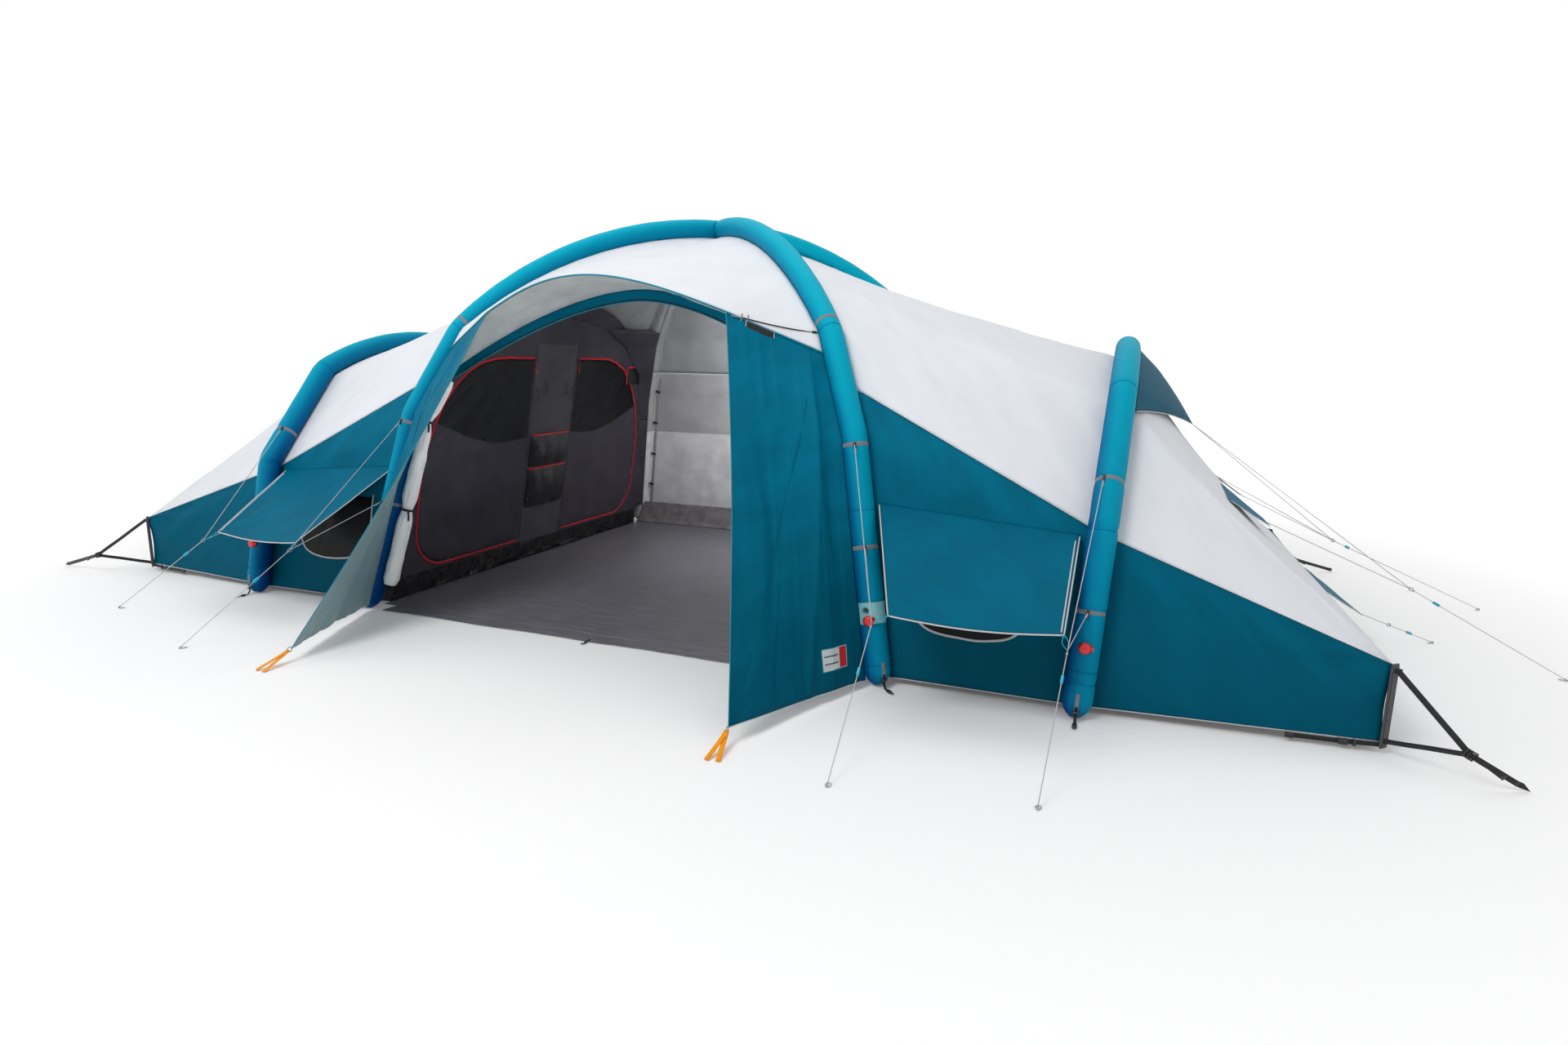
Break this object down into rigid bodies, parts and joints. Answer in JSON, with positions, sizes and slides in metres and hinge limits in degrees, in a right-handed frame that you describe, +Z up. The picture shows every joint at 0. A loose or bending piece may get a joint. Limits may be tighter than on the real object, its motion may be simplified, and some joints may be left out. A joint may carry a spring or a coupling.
{
  "type": "inflatable family tent",
  "caption": "Inflatable family tent with crossed air tubes over a living room, an arched bedroom wing at each side, porch wings, window awnings and guy lines.",
  "frame": {"origin": "on the ground under the crossing of the centre tubes, in the underside of the ground sheet", "axes": "+X along the tent to the wing on the right of someone who faces the door from outside, -Y out of the front door, +Z up"},
  "size_m": [9.1145, 4.6571, 2.4],
  "materials": {
    "tube_sleeve": "woven polyester sleeve over an air tube, satin",
    "fly_white": "coated polyester, matt white outside, grey inside",
    "fly_teal": "coated polyester, dark teal",
    "flap_teal": "coated polyester with a light piping",
    "porch_ceiling": "coated polyester, grey inner face",
    "door_roll": "coated polyester, rolled",
    "bedroom_dark": "dark breathable polyester",
    "bedroom_door": "dark breathable polyester and mesh",
    "groundsheet": "polyethylene sheet, dark grey",
    "corner_tape": "grey webbing tape over a stay",
    "strap_black": "black webbing",
    "peg_orange": "orange webbing",
    "valve_red": "moulded red cap",
    "slider_blue": "moulded line slider",
    "guy_cord": "braided cord, pale"
  },
  "bodies": {
    "tent": {"back_wall": "fly_teal", "bedroom_left": "bedroom_dark", "bedroom_right": "bedroom_dark", "corner_post_back_left": "corner_tape", "corner_post_back_right": "corner_tape", "corner_post_front_left": "corner_tape", "corner_post_front_right": "corner_tape", "corner_strap_back_left": "strap_black", "corner_strap_back_right": "strap_black", "corner_strap_front_left": "strap_black", "corner_strap_front_right": "strap_black", "door_header": "porch_ceiling", "door_roll": "door_roll", "groundsheet": "groundsheet", "guy_end_back": "guy_cord", "guy_end_front": "guy_cord", "guy_end_low": "guy_cord", "guy_front_left": "guy_cord", "guy_front_right": "guy_cord", "guy_wing_left": "guy_cord", "guy_wing_right": "guy_cord", "hood_left": "flap_teal", "hood_right": "flap_teal", "peg_strap_left": "peg_orange", "peg_strap_right": "peg_orange", "porch_wing_left": "fly_teal", "porch_wing_right": "fly_teal", "roof_back": "fly_white", "roof_front": "fly_white", "roof_left": "fly_white", "roof_right": "fly_white", "skirt_left": "fly_teal", "skirt_right": "fly_teal", "tube_back_left": "tube_sleeve", "tube_back_right": "tube_sleeve", "tube_front_left": "tube_sleeve", "tube_front_right": "tube_sleeve", "tube_wing_left": "tube_sleeve", "tube_wing_right": "tube_sleeve"},
    "right_awning": {"awning_right": "flap_teal"},
    "right_front_door": {"room_door_front_right": "bedroom_door"},
    "right_front_vent": {"vent_flap_front_right": "flap_teal"},
    "right_back_door": {"room_door_back_right": "bedroom_door"},
    "right_back_vent": {"vent_flap_back_right": "flap_teal"},
    "right_low_flap": {"low_flap_right": "flap_teal"},
    "right_front_valve": {"valve_cap_front_right": "valve_red"},
    "right_front_slider": {"slider_front_right": "slider_blue"},
    "right_wing_valve": {"valve_cap_wing_right": "valve_red"},
    "right_wing_slider": {"slider_wing_right": "slider_blue"},
    "left_awning": {"awning_left": "flap_teal"},
    "left_front_door": {"room_door_front_left": "bedroom_door"},
    "left_front_vent": {"vent_flap_front_left": "flap_teal"},
    "left_back_door": {"room_door_back_left": "bedroom_door"},
    "left_back_vent": {"vent_flap_back_left": "flap_teal"},
    "left_low_flap": {"low_flap_left": "flap_teal"},
    "left_front_valve": {"valve_cap_front_left": "valve_red"},
    "left_front_slider": {"slider_front_left": "slider_blue"},
    "left_wing_valve": {"valve_cap_wing_left": "valve_red"},
    "left_wing_slider": {"slider_wing_left": "slider_blue"},
    "sill": {"front_sill": "groundsheet"}
  },
  "joints": [
    {"name": "right_awning_hinge", "type": "hinge", "parent": "tent", "child": "right_awning", "pos_m": [1.9625, -1.38421, 0.805], "axis": [0.9961, 0.021, -0.0862], "range_deg": [-60, 28]},
    {"name": "right_front_door_hinge", "type": "hinge", "parent": "tent", "child": "right_front_door", "pos_m": [1.53067, -0.2519, 0.17252], "axis": [-0.1676, 0, 0.9859], "range_deg": [-100, 0]},
    {"name": "right_front_vent_hinge", "type": "hinge", "parent": "tent", "child": "right_front_vent", "pos_m": [3.08654, -0.48013, 0.88768], "axis": [-0.0139, 0.997, 0.0755], "range_deg": [-35, 4]},
    {"name": "right_back_door_hinge", "type": "hinge", "parent": "tent", "child": "right_back_door", "pos_m": [1.53067, 0.2519, 0.17252], "axis": [-0.1676, 0, 0.9859], "range_deg": [0, 100]},
    {"name": "right_back_vent_hinge", "type": "hinge", "parent": "tent", "child": "right_back_vent", "pos_m": [3.08657, 0.4801, 0.88804], "axis": [0.0132, 0.9972, -0.0737], "range_deg": [-35, 4]},
    {"name": "right_low_flap_hinge", "type": "hinge", "parent": "tent", "child": "right_low_flap", "pos_m": [3.6333, 0, 0.369], "axis": [0, 1, 0], "range_deg": [-30, 45]},
    {"name": "right_front_valve_turn", "type": "hinge", "parent": "tent", "child": "right_front_valve", "pos_m": [1.52676, -1.60311, 0.31219], "axis": [0, -0.9811, 0.1933], "range_deg": [0, 180]},
    {"name": "right_front_slider_run", "type": "slide", "parent": "tent", "child": "right_front_slider", "axis": [0.0161, -0.8092, -0.5874], "range_m": [-0.203, 0.304]},
    {"name": "right_wing_valve_turn", "type": "hinge", "parent": "tent", "child": "right_wing_valve", "pos_m": [2.488, -1.61529, 0.31594], "axis": [0, -0.9678, 0.2516], "range_deg": [0, 180]},
    {"name": "right_wing_slider_run", "type": "slide", "parent": "tent", "child": "right_wing_slider", "axis": [-0.0622, -0.7935, -0.6055], "range_m": [-0.1, 0.324]},
    {"name": "left_awning_hinge", "type": "hinge", "parent": "tent", "child": "left_awning", "pos_m": [-1.9625, -1.38421, 0.805], "axis": [0.9961, -0.021, 0.0862], "range_deg": [-60, 28]},
    {"name": "left_front_door_hinge", "type": "hinge", "parent": "tent", "child": "left_front_door", "pos_m": [-1.53067, -0.2519, 0.17252], "axis": [0.1676, 0, 0.9859], "range_deg": [0, 100]},
    {"name": "left_front_vent_hinge", "type": "hinge", "parent": "tent", "child": "left_front_vent", "pos_m": [-3.08654, -0.48013, 0.88768], "axis": [0.0139, 0.997, 0.0755], "range_deg": [-4, 35]},
    {"name": "left_back_door_hinge", "type": "hinge", "parent": "tent", "child": "left_back_door", "pos_m": [-1.53067, 0.2519, 0.17252], "axis": [0.1676, 0, 0.9859], "range_deg": [-100, 0]},
    {"name": "left_back_vent_hinge", "type": "hinge", "parent": "tent", "child": "left_back_vent", "pos_m": [-3.08657, 0.4801, 0.88804], "axis": [-0.0132, 0.9972, -0.0737], "range_deg": [-4, 35]},
    {"name": "left_low_flap_hinge", "type": "hinge", "parent": "tent", "child": "left_low_flap", "pos_m": [-3.6333, 0, 0.369], "axis": [0, 1, 0], "range_deg": [-45, 30]},
    {"name": "left_front_valve_turn", "type": "hinge", "parent": "tent", "child": "left_front_valve", "pos_m": [-1.52676, -1.60311, 0.31219], "axis": [0, -0.9811, 0.1933], "range_deg": [0, 180]},
    {"name": "left_front_slider_run", "type": "slide", "parent": "tent", "child": "left_front_slider", "axis": [-0.309, -0.7216, -0.6195], "range_m": [-0.191, 0.288]},
    {"name": "left_wing_valve_turn", "type": "hinge", "parent": "tent", "child": "left_wing_valve", "pos_m": [-2.488, -1.61529, 0.31594], "axis": [0, -0.9678, 0.2516], "range_deg": [0, 180]},
    {"name": "left_wing_slider_run", "type": "slide", "parent": "tent", "child": "left_wing_slider", "axis": [-0.7054, -0.3451, -0.6191], "range_m": [-0.097, 0.317]},
    {"name": "sill_hinge", "type": "hinge", "parent": "tent", "child": "sill", "pos_m": [0, -1.5003, 0.003], "axis": [1, 0, 0], "range_deg": [-85, 0]}
  ]
}
